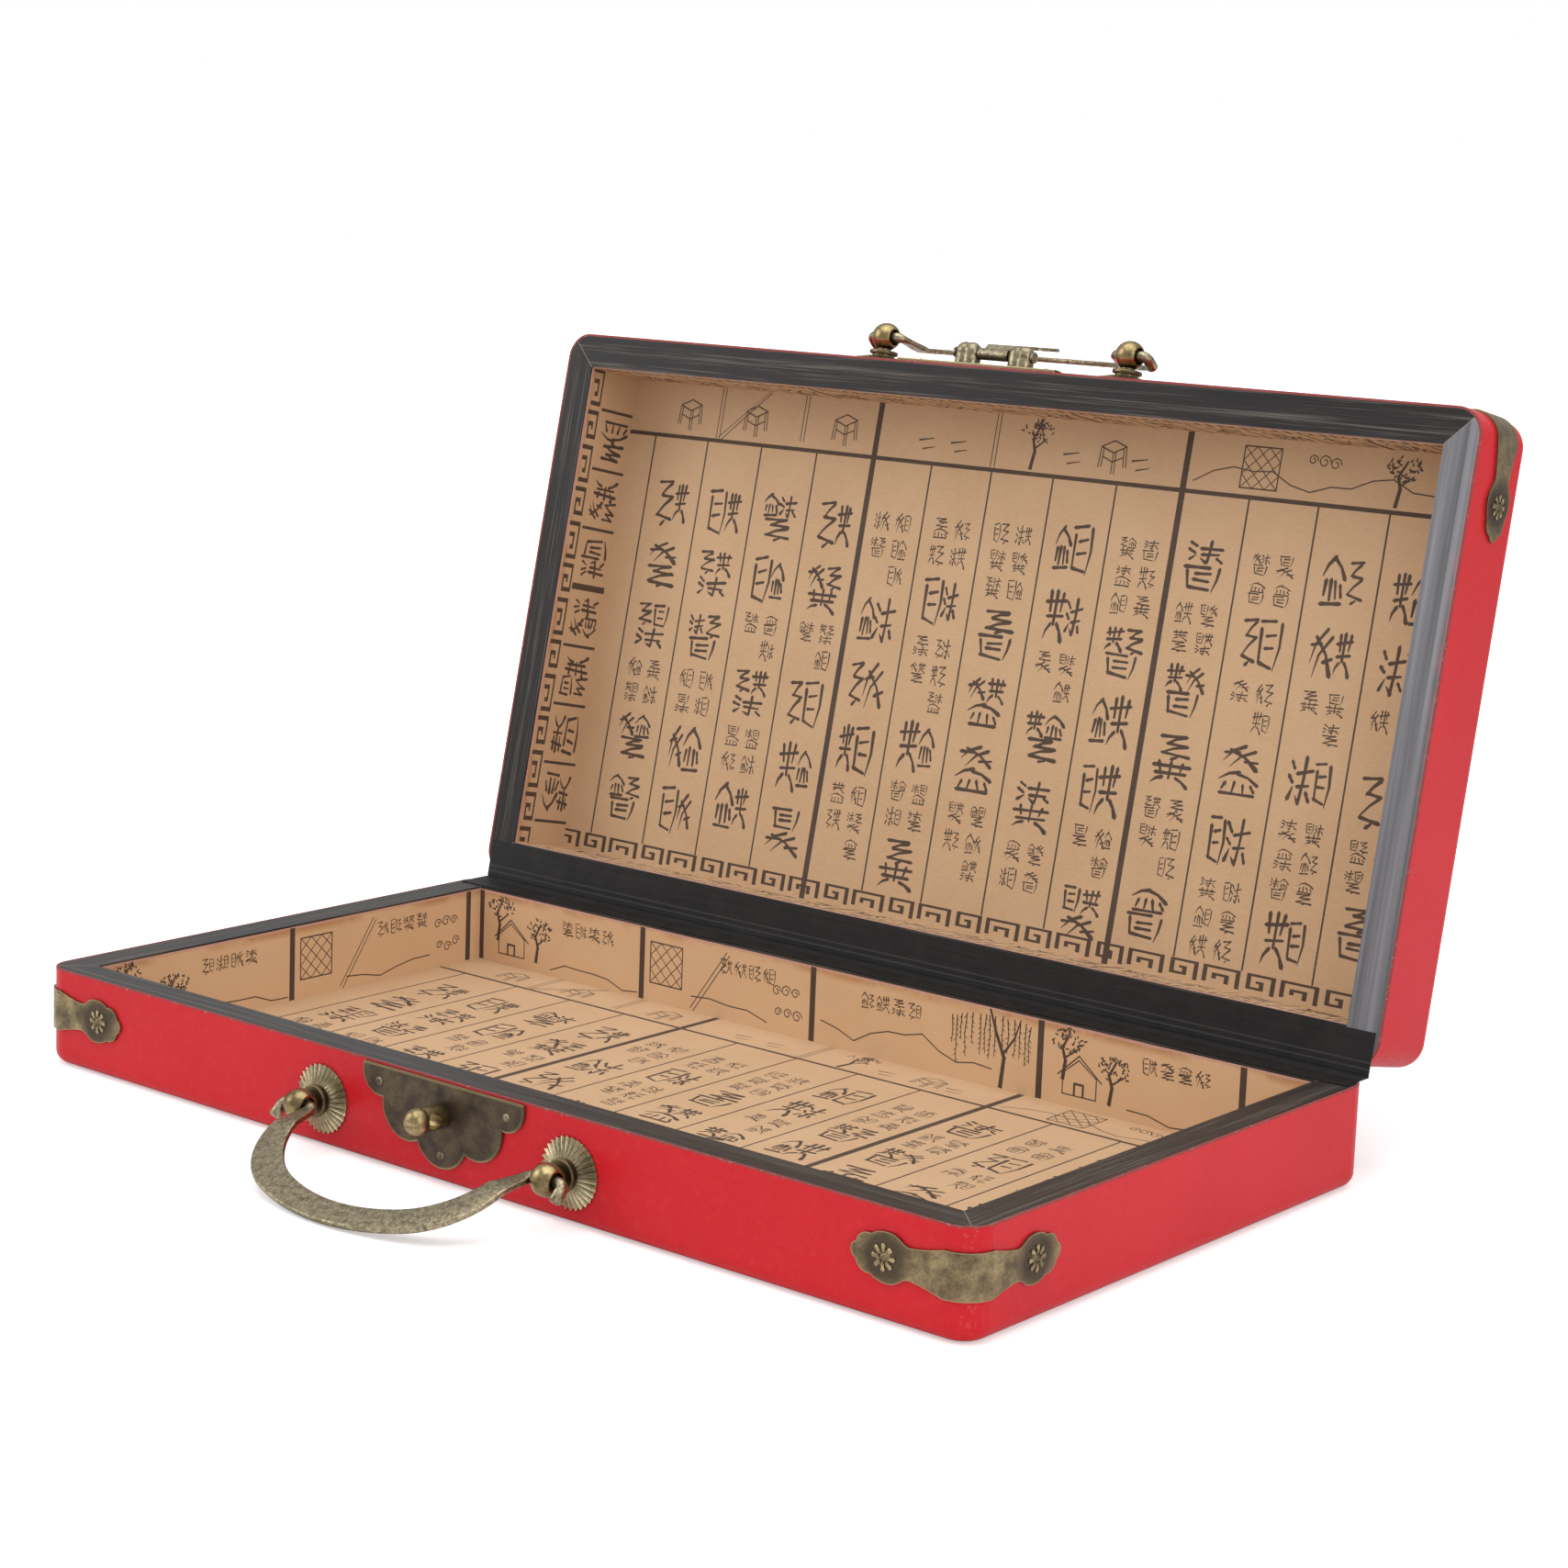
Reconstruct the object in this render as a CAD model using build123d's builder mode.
"""Mahjong case: two shallow leather-covered wooden trays hinged along the back, with brass fittings.

Millimetres, +Z up. The origin is the middle of the base tray's underside. The front faces -Y.
The lid stands open at its stop, as the case is shown. Each tray is measured from its own rim.
"""
from build123d import *
from math import asin, atan2, cos, degrees, hypot, radians, sin
import os

# --- driving dimensions -----------------------------------------------------------------------
case_length = 380.0
case_width = 206.0
tray_height = 32.5
corner_radius = 9.0          # upright corners, outside
edge_radius = 4.5            # long edges round the outer panel, outside

board_thickness = 11.4
panel_thickness = 4.0
leather_thickness = 0.8
paper_thickness = 0.3
paper_edge_drop = 0.7        # how far below the rim the wall paper stops
leather_turn_in = 3.0        # how far the side leather runs in under the outer panel
glue_gap = 0.05              # round every shank, and under what is bent round a corner
drill_overrun = 8.0          # a bore's cut starts this far out, past every plate it goes through

lid_open_angle = 101.5
rim_gap = 1.0                # between the two rims when shut
hinge_standoff = 2.0         # fold line of the cloth hinge, behind the back faces
tape_thickness = 0.4
tape_width_on_rim = 11.6
tape_end_inset = 2.0
fold_gap = 0.3               # each hinge leaf stops this short of the fold line
spine_thickness = 0.6
spine_height = 13.0
spine_clear_of_rim = 0.5

fittings_centre = -3.5       # the lock and handles sit a little left of the middle

rosette_radius = 11.0
rosette_tooth = 0.8
rosette_edge_height = 0.6
rosette_height = 2.6
rosette_flutes = 40
rosette_hub_radius = 4.2
rosette_spread = 51.6        # from the fittings' centre to each rosette
rosette_drop = 16.8          # below the rim

collar_foot_radius = 4.0
collar_foot_height = 0.7
collar_radius = 5.1
collar_height = 1.4
eye_axis_height = 9.8        # above the wall
eye_radius = 5.0
eye_half_width = 3.7
eye_hole_radius = 2.9
eye_flat_radius = 3.5
eye_neck_radius = 2.4
eye_shank_radius = 1.6
eye_shank_length = 10.0

bail_reach = 44.0            # from the axis to the outer edge of the bar
bail_bar_width = 8.6
bail_thickness = 1.8
bail_set = 4.0               # the strap lies this far above its axis
bail_wire_radius = 1.9
bail_wire_lap = 7.6          # how far the round end runs up the strap
bail_root_flare = 0.3
outer_corner_share = 0.62    # where the bar's round corner begins, as a share of the half span
outer_corner_drop = 5.7
outer_side_share = 0.37      # where it ends, as a share of the reach
outer_side_inset = 0.6
inner_corner_share = 0.50
inner_corner_drop = 4.1
inner_side_share = 0.31
inner_side_inset = 3.6
bail_bend_radius = 2.3
bail_eye_clearance = 0.4
finger_stand_out = 3.0
finger_length = 6.0
base_finger_turn = -20.0
lid_finger_turn = 40.0
table_clearance = 0.15
lid_bail_lift = 8.0          # the lid's handle lies this far off the wall at its stop
strap_root_reach = 6.0

lock_plate_width = 66.6
lock_plate_depth = 26.6
lock_plate_drop = 0.7
lock_plate_thickness = 1.0
lock_plate_step = 0.35        # the edge is stepped in by this much, all round
# Lobes and notches of the plate, as shares of its half width and depth, from the rim down.
lock_plate_lobes = ((0.96, 0.26), (0.75, 0.365), (0.65, 0.69), (0.30, 0.76))
stud_drop = 10.8
stud_radius = 3.9
stud_ball_radius = 4.15
stud_ball_height = 10.8
stud_hole_radius = 2.6
stud_hole_height = 7.0
stud_shank_radius = 1.8
stud_shank_length = 9.0

lug_drop = 12.0
lug_spread = 11.2
lug_ear_spread = 1.5
lug_radius = 3.25
lug_height = 9.6
hasp_axis_height = 5.8
hasp_pin_radius = 1.1
hasp_pin_head_radius = 1.9
hasp_pin_head_length = 0.8
hasp_running_gap = 0.06
hasp_side_gap = 0.3
hasp_barrel_radius = 2.1
hasp_thickness = 1.2
hasp_set = 3.0               # the tongue lies this far off the line of the pin
hasp_half_width = 8.6
hasp_slot_radius = 4.7
hasp_slot_far = 6.8          # the slot runs further past the stud, so the tongue can swing over it
hasp_tip_margin = 3.4
hasp_cheek_drop = 7.0        # the tongue widens from this far short of the stud
hasp_belly_reach = 1.6       # and is widest this far past it
hasp_neck_share = 0.78       # of the barrel's half length
hasp_shoulder_share = 0.58   # of the tongue's half width
hasp_lift = 8.0              # the tongue lies this far off the wall at its stop

strap_thickness = 0.8
strap_middle_height = 13.4
strap_neck_height = 9.0
strap_neck_reach = 19.5
strap_bulb_height = 14.2
strap_bulb_reach = 28.3
strap_reach = 39.4
strap_waist_sag = 0.25
bulb_start_share = 0.66      # shares of half the bulb's height
bulb_side_share = 0.88
bulb_end_share = 0.60
leaf_side_share = 0.78
leaf_tip_share = 0.34
leaf_tip_length = 1.7
leaf_lobe_bulge = 0.9
base_strap_drop = 13.7
lid_strap_drop = 17.0
petal_count = 8
petal_orbit = 2.3
petal_length = 1.8
petal_width = 1.15
petal_height = 0.35

nail_head_radius = 1.3
nail_head_height = 0.8
nail_shank_radius = 0.6
nail_length = 7.0
end_nail_spread = 26.5
end_nail_drop = 5.8
lower_nail_drop = 23.2

# --- worked out from them ---------------------------------------------------------------------
wall = leather_thickness + board_thickness
inner_length = case_length - 2 * wall
inner_width = case_width - 2 * wall
panel_top = leather_thickness + panel_thickness
hinge_point = Vector(0, case_width / 2 + hinge_standoff, tray_height + rim_gap / 2)
bail_half_span = rosette_spread - eye_half_width - bail_eye_clearance - bail_wire_radius
hasp_reach = lug_drop + rim_gap + stud_drop
hasp_barrel_length = 2 * (lug_spread - lug_ear_spread - lug_radius - hasp_side_gap)

# The base handle swings down until its bar rests on the table.
bar_low_edge = bail_set - bail_thickness / 2
bar_drop = tray_height - rosette_drop - table_clearance
bail_hang_angle = degrees(asin(bar_drop / hypot(bail_reach, bar_low_edge)) + atan2(bar_low_edge, bail_reach))

x_axis = Vector(1, 0, 0)
up = Vector(0, 0, 1)
outward = Vector(0, -1, 0)


def opened(point, angle=lid_open_angle):
    """A point of the shut lid, turned open about the hinge line."""
    turn = radians(-angle)
    offset = Vector(*point) - hinge_point
    back = offset.Y * cos(turn) - offset.Z * sin(turn)
    rise = offset.Y * sin(turn) + offset.Z * cos(turn)
    return hinge_point + Vector(offset.X, back, rise)


def opened_plane(plane):
    """A plane of the shut lid, turned open with it."""
    origin = opened(plane.origin)
    return Plane(
        origin=origin,
        x_dir=opened(plane.origin + plane.x_dir) - origin,
        z_dir=opened(plane.origin + plane.z_dir) - origin,
    )


# Tray planes: the origin is the middle of the outer panel, and local Z points at the rim.
base_tray = Plane.XY
lid_tray = opened_plane(
    Plane(origin=(0, 0, 2 * tray_height + rim_gap), x_dir=x_axis, z_dir=-up)
)
# Front planes: the origin is the middle of the front rim's outer edge, local Z points out of
# the wall and local -Y runs from the rim down the wall.
base_front = Plane(origin=(0, -case_width / 2, tray_height), x_dir=x_axis, z_dir=outward)
lid_front = opened_plane(
    Plane(origin=(0, -case_width / 2, tray_height + rim_gap), x_dir=-x_axis, z_dir=outward)
)


def shifted(plane, across, down=0.0, out=0.0):
    """The same plane, moved along the wall, down from the rim and out of the wall."""
    origin = plane.origin + plane.x_dir * across - plane.y_dir * down + plane.z_dir * out
    return Plane(origin=origin, x_dir=plane.x_dir, z_dir=plane.z_dir)


def fittings_plane(front):
    """The front plane moved to the middle of the fittings, which lies left on both trays."""
    return shifted(front, fittings_centre * front.x_dir.X)


def finish(part, name):
    part.label = name
    export_step(part, f"parts/{name}.step")
    return part


def drilled(part, holes):
    """The part less a bore round each shank: a list of (plane, radius, depth behind the plane)."""
    with BuildPart() as piece:
        add(part)
        for plane, radius, depth in holes:
            with BuildSketch(plane.offset(-depth)):
                Circle(radius + glue_gap)
            extrude(amount=depth + drill_overrun, mode=Mode.SUBTRACT)
    return piece.part


# --- trays ------------------------------------------------------------------------------------
def tray_block(tray, inset):
    """The tray's outer form less a skin: round upright corners and round outer edges."""
    with BuildPart() as block:
        with BuildSketch(tray.offset(inset)):
            RectangleRounded(
                case_length - 2 * inset, case_width - 2 * inset, corner_radius - inset
            )
        extrude(amount=tray_height - inset)
        outer_panel = block.faces().sort_by(Axis(tray.origin, tray.z_dir))[0]
        fillet(outer_panel.edges(), edge_radius - inset)
    return block.part


def tray_board(tray, turns, holes):
    """One mitred board of the tray's frame: 0 front, 1 right, 2 back, 3 left."""
    along, across = (inner_length, inner_width) if turns % 2 == 0 else (inner_width, inner_length)
    inner_edge = -across / 2
    outer_edge = inner_edge - board_thickness
    half_inner = along / 2
    half_outer = half_inner + board_thickness
    with BuildPart() as board:
        with BuildSketch(tray.offset(leather_thickness)):
            with Locations(Location((0, 0, 0), (0, 0, 90 * turns))):
                Polygon(
                    (-half_outer, outer_edge),
                    (half_outer, outer_edge),
                    (half_inner, inner_edge),
                    (-half_inner, inner_edge),
                    align=None,
                )
        extrude(amount=tray_height - leather_thickness)
        add(tray_block(tray, leather_thickness), mode=Mode.INTERSECT)
    return drilled(board.part, holes)


def outer_panel(tray):
    with BuildPart() as panel:
        with BuildSketch(tray.offset(leather_thickness)):
            Rectangle(inner_length, inner_width)
        extrude(amount=panel_thickness)
    return panel.part


def panel_leather_size():
    inset = edge_radius + leather_turn_in
    return case_length - 2 * inset, case_width - 2 * inset


def side_leather(tray, holes):
    """Leather round the four sides, turned in under the outer panel."""
    length, width = panel_leather_size()
    with BuildPart() as leather:
        add(tray_block(tray, 0))
        add(tray_block(tray, leather_thickness), mode=Mode.SUBTRACT)
        with BuildSketch(tray):
            Rectangle(length, width)
        extrude(amount=leather_thickness, mode=Mode.SUBTRACT)
    return drilled(leather.part, holes)


def panel_leather(tray):
    """The flat sheet of leather let in over the outer panel."""
    length, width = panel_leather_size()
    with BuildPart() as leather:
        with BuildSketch(tray):
            Rectangle(length - 2 * glue_gap, width - 2 * glue_gap)
        extrude(amount=leather_thickness)
    return leather.part


def floor_paper(tray):
    with BuildPart() as paper:
        with BuildSketch(tray.offset(panel_top)):
            Rectangle(inner_length - 2 * glue_gap, inner_width - 2 * glue_gap)
        extrude(amount=paper_thickness)
    return paper.part


def wall_paper(tray):
    """One strip of printed paper round the four inner walls."""
    bottom = panel_top + paper_thickness
    with BuildPart() as paper:
        with BuildSketch(tray.offset(bottom)):
            Rectangle(inner_length, inner_width)
            Rectangle(
                inner_length - 2 * paper_thickness,
                inner_width - 2 * paper_thickness,
                mode=Mode.SUBTRACT,
            )
        extrude(amount=tray_height - paper_edge_drop - bottom)
    return paper.part


# --- cloth hinge ------------------------------------------------------------------------------
def rim_tape(tray, back):
    """The leaf of black tape glued over a back rim, up to the fold. back is 1 or -1 in local Y."""
    depth = tape_width_on_rim + hinge_standoff - fold_gap
    middle = case_width / 2 - tape_width_on_rim + depth / 2
    with BuildPart() as tape:
        with BuildSketch(tray.offset(tray_height)):
            with Locations((0, back * middle)):
                Rectangle(case_length - 2 * tape_end_inset, depth)
        extrude(amount=tape_thickness)
    return tape.part


def spine_leaf(tray, back):
    """The leaf of leather glued down the back face, up to the rim."""
    top = tray_height - spine_clear_of_rim
    with BuildPart() as leaf:
        with BuildSketch(tray.offset(top - spine_height)):
            with Locations((0, back * (case_width / 2 + spine_thickness / 2))):
                Rectangle(case_length - 2 * corner_radius, spine_thickness)
        extrude(amount=spine_height)
    return leaf.part


# --- handles ----------------------------------------------------------------------------------
def eye_plane(front, side):
    """Where a handle's post meets the wall, left (-1) or right (1) in the plane's own X."""
    return shifted(fittings_plane(front), side * rosette_spread, rosette_drop)


def star_points(radius, tooth):
    """A toothed rim: two points for each flute."""
    step = 180 / rosette_flutes
    return [
        Vector(radius - tooth * (i % 2), 0).rotate(Axis.Z, i * step)
        for i in range(2 * rosette_flutes)
    ]


def rosette(plane):
    """A low cone with radial flutes, toothed at its rim, bored for the post."""
    with BuildPart() as piece:
        with BuildSketch(plane):
            Polygon(*star_points(rosette_radius, rosette_tooth), align=None)
        extrude(amount=rosette_edge_height)
        with BuildSketch(plane.offset(rosette_edge_height)):
            Polygon(*star_points(rosette_radius, rosette_tooth), align=None)
        hub_tooth = rosette_tooth * rosette_hub_radius / rosette_radius
        with BuildSketch(plane.offset(rosette_height)):
            Polygon(*star_points(rosette_hub_radius, hub_tooth), align=None)
        loft(ruled=True)
    return drilled(piece.part, [(plane, eye_shank_radius, rosette_height)])


def collar(plane):
    """The turned ring between the rosette and the eye."""
    foot = plane.offset(rosette_height)
    ring = foot.offset(collar_foot_height)
    with BuildPart() as piece:
        with BuildSketch(foot):
            Circle(collar_foot_radius)
        extrude(amount=collar_foot_height)
        with BuildSketch(ring):
            Circle(collar_radius)
        extrude(amount=collar_height)
        fillet(piece.edges().filter_by(GeomType.CIRCLE).group_by(SortBy.RADIUS)[-1], collar_height / 3)
        with BuildSketch(foot):
            Circle(eye_neck_radius + glue_gap)
        extrude(amount=collar_foot_height + collar_height, mode=Mode.SUBTRACT)
    return piece.part


def eye_post(plane):
    """A bead with a cross hole for the handle's end, on a neck and a shank into the wall."""
    axis_point = plane.origin + plane.z_dir * eye_axis_height
    section = Plane(origin=axis_point, x_dir=plane.x_dir, z_dir=-plane.y_dir)
    neck_top = eye_axis_height - (eye_hole_radius + eye_radius) / 2
    with BuildPart() as piece:
        with BuildSketch(section):
            with BuildLine():
                Polyline(
                    (-eye_half_width, eye_flat_radius),
                    (-eye_half_width, eye_hole_radius),
                    (eye_half_width, eye_hole_radius),
                    (eye_half_width, eye_flat_radius),
                )
                ThreePointArc(
                    (eye_half_width, eye_flat_radius),
                    (0, eye_radius),
                    (-eye_half_width, eye_flat_radius),
                )
            make_face()
        revolve(axis=Axis(axis_point, plane.x_dir))
        with BuildSketch(plane.offset(rosette_height)):
            Circle(eye_neck_radius)
        extrude(amount=neck_top - rosette_height)
        with BuildSketch(plane.offset(leather_thickness - eye_shank_length)):
            Circle(eye_shank_radius)
        extrude(amount=eye_shank_length - leather_thickness + rosette_height)
    return piece.part


def bail_plane(front, angle, set_side):
    """Local X along the eyes, local Y out along the handle, local Z on the side the strap is set."""
    origin = shifted(fittings_plane(front), 0, rosette_drop, eye_axis_height).origin
    out, away = front.z_dir, front.y_dir
    reach = out * cos(radians(angle)) + away * sin(radians(angle))
    above = (away * cos(radians(angle)) - out * sin(radians(angle))) * set_side
    return Plane(origin=origin, x_dir=reach.cross(above), z_dir=above)


def bail(plane, finger_turn):
    """A flat bowed strap whose round ends turn out through the eyes and bend at their tips."""
    inner_reach = bail_reach - bail_bar_width
    root_outer = bail_half_span + bail_wire_radius + bail_root_flare
    root_inner = bail_half_span - bail_wire_radius
    outer_corner = (outer_corner_share * root_outer, bail_reach - outer_corner_drop)
    outer_side = (root_outer - outer_side_inset, outer_side_share * bail_reach)
    inner_corner = (inner_corner_share * root_inner, inner_reach - inner_corner_drop)
    inner_side = (root_inner - inner_side_inset, inner_side_share * inner_reach)
    with BuildPart() as piece:
        with BuildSketch(plane.offset(bail_set - bail_thickness / 2)):
            with BuildLine():
                outer_bar = TangentArc((0, bail_reach), outer_corner, tangent=(1, 0))
                TangentArc(outer_corner, outer_side, tangent=outer_bar % 1)
                Polyline(outer_side, (root_outer, strap_root_reach), (root_inner, strap_root_reach), inner_side)
                inner_bar = TangentArc((0, inner_reach), inner_corner, tangent=(1, 0))
                TangentArc(inner_corner, inner_side, tangent=inner_bar % 1)
                mirror(about=Plane.YZ)
            make_face()
        extrude(amount=bail_thickness)
        for side in (-1, 1):
            add(wire_end(plane, side, finger_turn))
    return piece.part


def wire_end(plane, side, finger_turn):
    """The round end: down from the strap, out through the eye, and bent over past it."""
    along_strap = Vector(0, cos(radians(finger_turn)), sin(radians(finger_turn)))
    root = Vector(side * bail_half_span, strap_root_reach + bail_wire_lap, bail_set)
    elbow = Vector(side * bail_half_span, 0, 0)
    knee = Vector(side * (rosette_spread + eye_half_width + finger_stand_out), 0, 0)
    tip = knee + along_strap * finger_length
    points = [plane.from_local_coords(p) for p in (root, elbow, knee, tip)]
    with BuildPart() as wire:
        with BuildLine() as path:
            FilletPolyline(*points, radius=bail_bend_radius)
        with BuildSketch(Plane(origin=path.line @ 0, z_dir=path.line % 0)):
            Circle(bail_wire_radius)
        sweep(path=path.line)
    return wire.part


# --- lock -------------------------------------------------------------------------------------
def lock_plate(plane, holes):
    """Half of a five-lobed flower with its straight edge along the rim."""
    half = lock_plate_width / 2
    top = -lock_plate_drop
    low = top - lock_plate_depth
    end_belly, end_notch, side_belly, low_notch = [
        (across * half, top - down * lock_plate_depth) for across, down in lock_plate_lobes
    ]
    with BuildPart() as piece:
        with BuildSketch(plane) as outline:
            with BuildLine():
                Line((0, top), (half, top))
                ThreePointArc((half, top), end_belly, end_notch)
                ThreePointArc(end_notch, side_belly, low_notch)
                TangentArc((0, low), low_notch, tangent=(1, 0))
                mirror(about=Plane.YZ)
            make_face()
        extrude(amount=lock_plate_thickness - lock_plate_step)
        with BuildSketch(plane.offset(lock_plate_thickness - lock_plate_step)):
            add(outline.sketch_local)
            offset(amount=-lock_plate_step, kind=Kind.INTERSECTION)
        extrude(amount=lock_plate_step)
    return drilled(piece.part, holes)


def lock_stud(plane):
    """A post with a ball end, bored across for a padlock."""
    seat = plane.offset(lock_plate_thickness)
    ball_centre = plane.origin + plane.z_dir * stud_ball_height
    section = Plane(origin=ball_centre, x_dir=plane.z_dir, z_dir=plane.x_dir)
    hole_start = Plane(
        origin=plane.origin + plane.z_dir * stud_hole_height - plane.x_dir * 2 * stud_radius,
        x_dir=plane.z_dir,
        z_dir=plane.x_dir,
    )
    with BuildPart() as piece:
        with BuildSketch(seat):
            Circle(stud_radius)
        extrude(amount=stud_ball_height - lock_plate_thickness)
        with BuildSketch(section):
            Circle(stud_ball_radius)
            with Locations((0, -stud_ball_radius)):
                Rectangle(4 * stud_ball_radius, 2 * stud_ball_radius, mode=Mode.SUBTRACT)
        revolve(axis=Axis(ball_centre, plane.z_dir))
        with BuildSketch(hole_start):
            Circle(stud_hole_radius)
        extrude(amount=4 * stud_radius, mode=Mode.SUBTRACT)
        with BuildSketch(plane.offset(lock_plate_thickness - stud_shank_length)):
            Circle(stud_shank_radius)
        extrude(amount=stud_shank_length)
    return piece.part


def hasp_axis(front):
    """Local X along the hasp's pin, local Z out of the wall."""
    return shifted(fittings_plane(front), 0, lug_drop, hasp_axis_height)


def hasp_lug(plane):
    """A twin-domed lug on the lid's plate, bored for the hasp's pin."""
    pin_start = Plane(
        origin=plane.origin + plane.z_dir * hasp_axis_height - plane.x_dir * 2 * lug_radius,
        x_dir=plane.z_dir,
        z_dir=plane.x_dir,
    )
    with BuildPart() as piece:
        for ear in (-lug_ear_spread, lug_ear_spread):
            foot = shifted(plane, ear)
            with BuildSketch(foot.offset(lock_plate_thickness)):
                Circle(lug_radius)
            extrude(amount=lug_height - lug_radius - lock_plate_thickness)
            dome_centre = foot.origin + foot.z_dir * (lug_height - lug_radius)
            with BuildSketch(Plane(origin=dome_centre, x_dir=foot.z_dir, z_dir=foot.x_dir)):
                Circle(lug_radius)
                with Locations((0, -lug_radius)):
                    Rectangle(4 * lug_radius, 2 * lug_radius, mode=Mode.SUBTRACT)
            revolve(axis=Axis(dome_centre, foot.z_dir))
        with BuildSketch(pin_start):
            Circle(hasp_pin_radius + glue_gap)
        extrude(amount=4 * lug_radius, mode=Mode.SUBTRACT)
        with BuildSketch(plane.offset(lock_plate_thickness - nail_length)):
            Circle(nail_shank_radius)
        extrude(amount=nail_length)
    return piece.part


def hasp_pin(plane):
    """The pin through both lugs, headed at its ends."""
    half = lug_spread + lug_ear_spread + lug_radius
    start = Plane(origin=plane.origin - plane.x_dir * half, x_dir=plane.z_dir, z_dir=plane.x_dir)
    with BuildPart() as piece:
        with BuildSketch(start.offset(-hasp_pin_head_length)):
            Circle(hasp_pin_head_radius)
        extrude(amount=hasp_pin_head_length)
        with BuildSketch(start):
            Circle(hasp_pin_radius)
        extrude(amount=2 * half)
        with BuildSketch(start.offset(2 * half)):
            Circle(hasp_pin_head_radius)
        extrude(amount=hasp_pin_head_length)
    return piece.part


def hasp(front):
    """A barrel on the pin and a set-over tongue whose slot drops over the stud."""
    pin_plane = hasp_axis(front)
    lift = radians(hasp_lift)
    reach = pin_plane.z_dir * sin(lift) - pin_plane.y_dir * cos(lift)
    away = pin_plane.z_dir * cos(lift) + pin_plane.y_dir * sin(lift)
    tongue = Plane(origin=pin_plane.origin, x_dir=reach.cross(away), z_dir=away)
    side = Plane(
        origin=tongue.origin - tongue.x_dir * hasp_barrel_length / 2, x_dir=tongue.y_dir, z_dir=tongue.x_dir
    )
    low = hasp_set - hasp_thickness / 2
    high = hasp_set + hasp_thickness / 2
    flat_start = hasp_barrel_radius + hasp_set
    half_barrel = hasp_barrel_length / 2
    cheek = (half_barrel, hasp_reach - hasp_cheek_drop)
    shoulder = (hasp_shoulder_share * hasp_half_width, hasp_reach + hasp_slot_far)
    with BuildPart() as piece:
        with BuildSketch(side):
            Circle(hasp_barrel_radius)
            Polygon(
                (0, 0),
                (hasp_barrel_radius, 0),
                (flat_start, low),
                (flat_start + hasp_thickness, low),
                (flat_start + hasp_thickness, high),
                (flat_start - hasp_thickness, high),
                align=None,
            )
        extrude(amount=hasp_barrel_length)
        with BuildSketch(tongue.offset(low)):
            with BuildLine():
                Line((0, flat_start), (half_barrel, flat_start))
                neck = (hasp_neck_share * half_barrel, (flat_start + cheek[1]) / 2)
                ThreePointArc((half_barrel, flat_start), neck, cheek)
                ThreePointArc(cheek, (hasp_half_width, hasp_reach + hasp_belly_reach), shoulder)
                TangentArc((0, hasp_reach + hasp_slot_far + hasp_tip_margin), shoulder, tangent=(1, 0))
                mirror(about=Plane.YZ)
            make_face()
            with Locations((0, hasp_reach + (hasp_slot_far - hasp_slot_radius) / 2)):
                slot_length = hasp_slot_radius + hasp_slot_far
                SlotOverall(slot_length, 2 * hasp_slot_radius, rotation=90, mode=Mode.SUBTRACT)
        extrude(amount=hasp_thickness)
        with BuildSketch(side):
            Circle(hasp_pin_radius + hasp_running_gap)
        extrude(amount=hasp_barrel_length, mode=Mode.SUBTRACT)
    return piece.part


# --- nails ------------------------------------------------------------------------------------
def nails(planes, plate_thickness):
    """Domed brass nails driven through a plate of this thickness."""
    with BuildPart() as group:
        for plane in planes:
            seat = plane.offset(plate_thickness)
            rim = seat.origin
            section = Plane(origin=rim, x_dir=plane.x_dir, z_dir=plane.y_dir)
            with BuildSketch(section):
                with BuildLine():
                    Line((0, 0), (nail_head_radius, 0))
                    Line((0, 0), (0, -nail_head_height))
                    RadiusArc(
                        (nail_head_radius, 0),
                        (0, -nail_head_height),
                        (nail_head_radius**2 + nail_head_height**2) / (2 * nail_head_height),
                    )
                make_face()
            revolve(axis=Axis(rim, plane.z_dir))
            with BuildSketch(seat.offset(-nail_length)):
                Circle(nail_shank_radius)
            extrude(amount=nail_length)
    return group.part


# --- corner straps ----------------------------------------------------------------------------
def leg_outline(side):
    """The strap's leg from the round of the corner to its leaf tip; X is the distance from the corner."""
    middle, neck, bulb = strap_middle_height / 2, strap_neck_height / 2, strap_bulb_height / 2
    waist_x = (corner_radius + strap_neck_reach) / 2
    bulb_start = (strap_bulb_reach - bulb_start_share * bulb, bulb_side_share * bulb)
    bulb_end = (strap_bulb_reach + bulb_end_share * bulb, leaf_side_share * bulb)
    lobe_start = (strap_reach - leaf_tip_length, leaf_tip_share * bulb)
    lobe_belly = (
        (bulb_end[0] + lobe_start[0]) / 2 + leaf_lobe_bulge,
        (bulb_end[1] + lobe_start[1]) / 2 + leaf_lobe_bulge,
    )
    for edge in (-1, 1):
        ThreePointArc(
            (side * corner_radius, edge * middle),
            (side * waist_x, edge * ((middle + neck) / 2 - strap_waist_sag)),
            (side * strap_neck_reach, edge * neck),
        )
        Spline(
            (side * strap_neck_reach, edge * neck),
            (side * bulb_start[0], edge * bulb_start[1]),
            (side * strap_bulb_reach, edge * bulb),
            (side * bulb_end[0], edge * bulb_end[1]),
            tangents=[(side, 0), (side, -edge)],
        )
        ThreePointArc(
            (side * bulb_end[0], edge * bulb_end[1]),
            (side * lobe_belly[0], edge * lobe_belly[1]),
            (side * lobe_start[0], edge * lobe_start[1]),
        )
    ThreePointArc(
        (side * lobe_start[0], -lobe_start[1]), (side * strap_reach, 0), (side * lobe_start[0], lobe_start[1])
    )
    Line((side * corner_radius, -middle), (side * corner_radius, middle))


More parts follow.
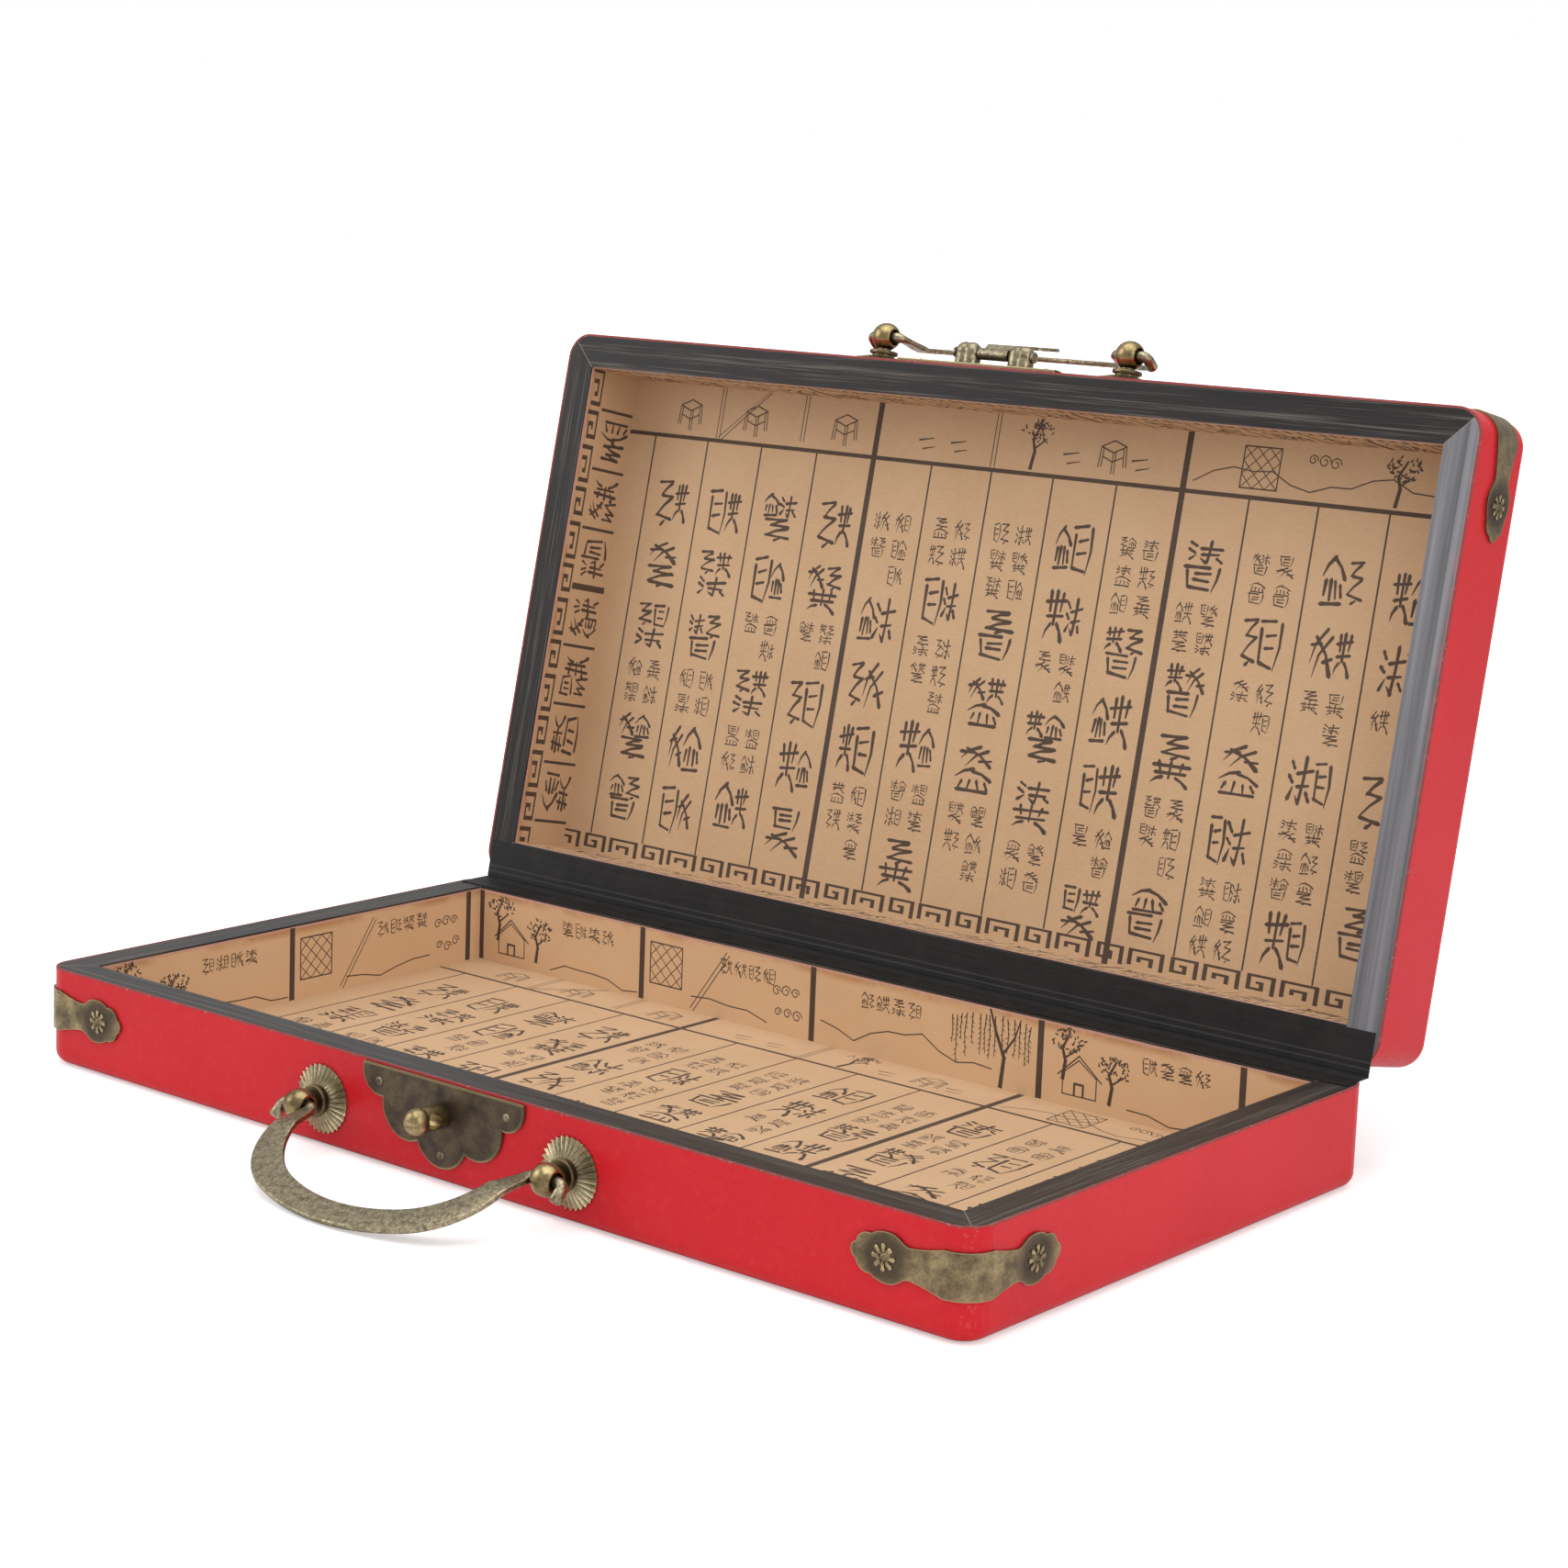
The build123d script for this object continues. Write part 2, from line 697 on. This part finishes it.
def corner_planes(front, side, drop):
    """The front wall's and the side wall's planes, each with its origin at the sharp corner."""
    corner = shifted(front, side * case_length / 2, drop)
    wall_plane = Plane(origin=corner.origin, x_dir=corner.z_dir * -side, z_dir=corner.x_dir * side)
    return corner, wall_plane


def strap_nail_planes(front, side, drop):
    corner, wall_plane = corner_planes(front, side, drop)
    return [
        shifted(corner, -side * strap_bulb_reach),
        shifted(wall_plane, side * strap_bulb_reach),
    ]


def corner_strap(front, side, drop):
    """A brass strap bent round an upright corner, with a flower stamped round each nail."""
    corner, wall_plane = corner_planes(front, side, drop)
    ring = Plane(origin=corner.origin, x_dir=corner.x_dir, z_dir=corner.y_dir)
    inside = corner_radius + glue_gap
    with BuildPart() as piece:
        with BuildSketch(corner):
            with BuildLine():
                leg_outline(-side)
            make_face()
        extrude(amount=strap_thickness)
        with BuildSketch(wall_plane):
            with BuildLine():
                leg_outline(side)
            make_face()
        extrude(amount=strap_thickness)
        with BuildSketch(ring.offset(-strap_middle_height / 2)):
            with Locations((-side * corner_radius, corner_radius)):
                Circle(corner_radius + strap_thickness)
                Circle(inside, mode=Mode.SUBTRACT)
            with Locations((0, 0)):
                Rectangle(corner_radius * 2, corner_radius * 2, mode=Mode.INTERSECT)
        extrude(amount=strap_middle_height)
        for plane in strap_nail_planes(front, side, drop):
            with BuildSketch(plane.offset(strap_thickness)):
                with PolarLocations(petal_orbit, petal_count):
                    Ellipse(petal_length / 2, petal_width / 2)
            extrude(amount=petal_height)
    return drilled(piece.part, [(p, nail_shank_radius, 0) for p in strap_nail_planes(front, side, drop)])


# --- build ------------------------------------------------------------------------------------
def lock_nail_planes(front):
    plate = fittings_plane(front)
    return [
        shifted(plate, -end_nail_spread, end_nail_drop),
        shifted(plate, end_nail_spread, end_nail_drop),
        shifted(plate, 0, lower_nail_drop),
    ]


def build_tray(name, tray, front, hands, strap_drop, lock_shanks):
    """One tray with all that both trays have: boards, covers, papers, hinge leaves, straps, handle posts."""
    eyes = {"left": eye_plane(front, -front.x_dir.X), "right": eye_plane(front, front.x_dir.X)}
    strap_planes = {
        hand: strap_nail_planes(front, side * front.x_dir.X, strap_drop)
        for hand, side in (("left", -1), ("right", 1))
    }
    back = 1 if hands[2] == "back" else -1
    eye_shanks = [(p, eye_shank_radius, eye_shank_length) for p in eyes.values()]
    nail_shanks = [(p, nail_shank_radius, nail_length) for p in lock_nail_planes(front)]
    strap_shanks = [(p, nail_shank_radius, nail_length) for pair in strap_planes.values() for p in pair]
    shanks = eye_shanks + nail_shanks + strap_shanks + lock_shanks
    for turns, hand in enumerate(hands):
        finish(tray_board(tray, turns, shanks if hand != "back" else []), f"{name}_{hand}_board")
    finish(outer_panel(tray), f"{name}_panel")
    finish(side_leather(tray, shanks), f"{name}_side_leather")
    finish(panel_leather(tray), f"{name}_panel_leather")
    finish(floor_paper(tray), f"{name}_floor_paper")
    finish(wall_paper(tray), f"{name}_wall_paper")
    finish(rim_tape(tray, back), f"{name}_hinge_tape")
    finish(spine_leaf(tray, back), f"{name}_hinge_spine")
    finish(lock_plate(fittings_plane(front), nail_shanks + lock_shanks), f"{name}_lock_plate")
    finish(nails(lock_nail_planes(front), lock_plate_thickness), f"{name}_lock_nails")
    finish(nails(strap_planes["left"] + strap_planes["right"], strap_thickness), f"{name}_strap_nails")
    for hand, side in (("left", -1), ("right", 1)):
        finish(corner_strap(front, side * front.x_dir.X, strap_drop), f"{name}_strap_{hand}")
        finish(rosette(eyes[hand]), f"{name}_rosette_{hand}")
        finish(collar(eyes[hand]), f"{name}_collar_{hand}")
        finish(eye_post(eyes[hand]), f"{name}_eye_{hand}")


os.makedirs("parts", exist_ok=True)

stud_plane = shifted(fittings_plane(base_front), 0, stud_drop)
base_hands = ("front", "right", "back", "left")
stud_shank = [(stud_plane, stud_shank_radius, stud_shank_length)]
build_tray("base", base_tray, base_front, base_hands, base_strap_drop, stud_shank)
finish(lock_stud(stud_plane), "lock_stud")
finish(bail(bail_plane(base_front, -bail_hang_angle, 1), base_finger_turn), "base_bail")

lug_planes = [shifted(fittings_plane(lid_front), side * lug_spread, lug_drop) for side in (1, -1)]
lid_hands = ("back", "right", "front", "left")
lug_shanks = [(plane, nail_shank_radius, nail_length) for plane in lug_planes]
build_tray("lid", lid_tray, lid_front, lid_hands, lid_strap_drop, lug_shanks)
for hand, plane in zip(("left", "right"), lug_planes):
    finish(hasp_lug(plane), f"hasp_lug_{hand}")
finish(hasp_pin(hasp_axis(lid_front)), "hasp_pin")
finish(hasp(lid_front), "hasp")
finish(bail(bail_plane(lid_front, lid_bail_lift - 90, -1), lid_finger_turn), "lid_bail")
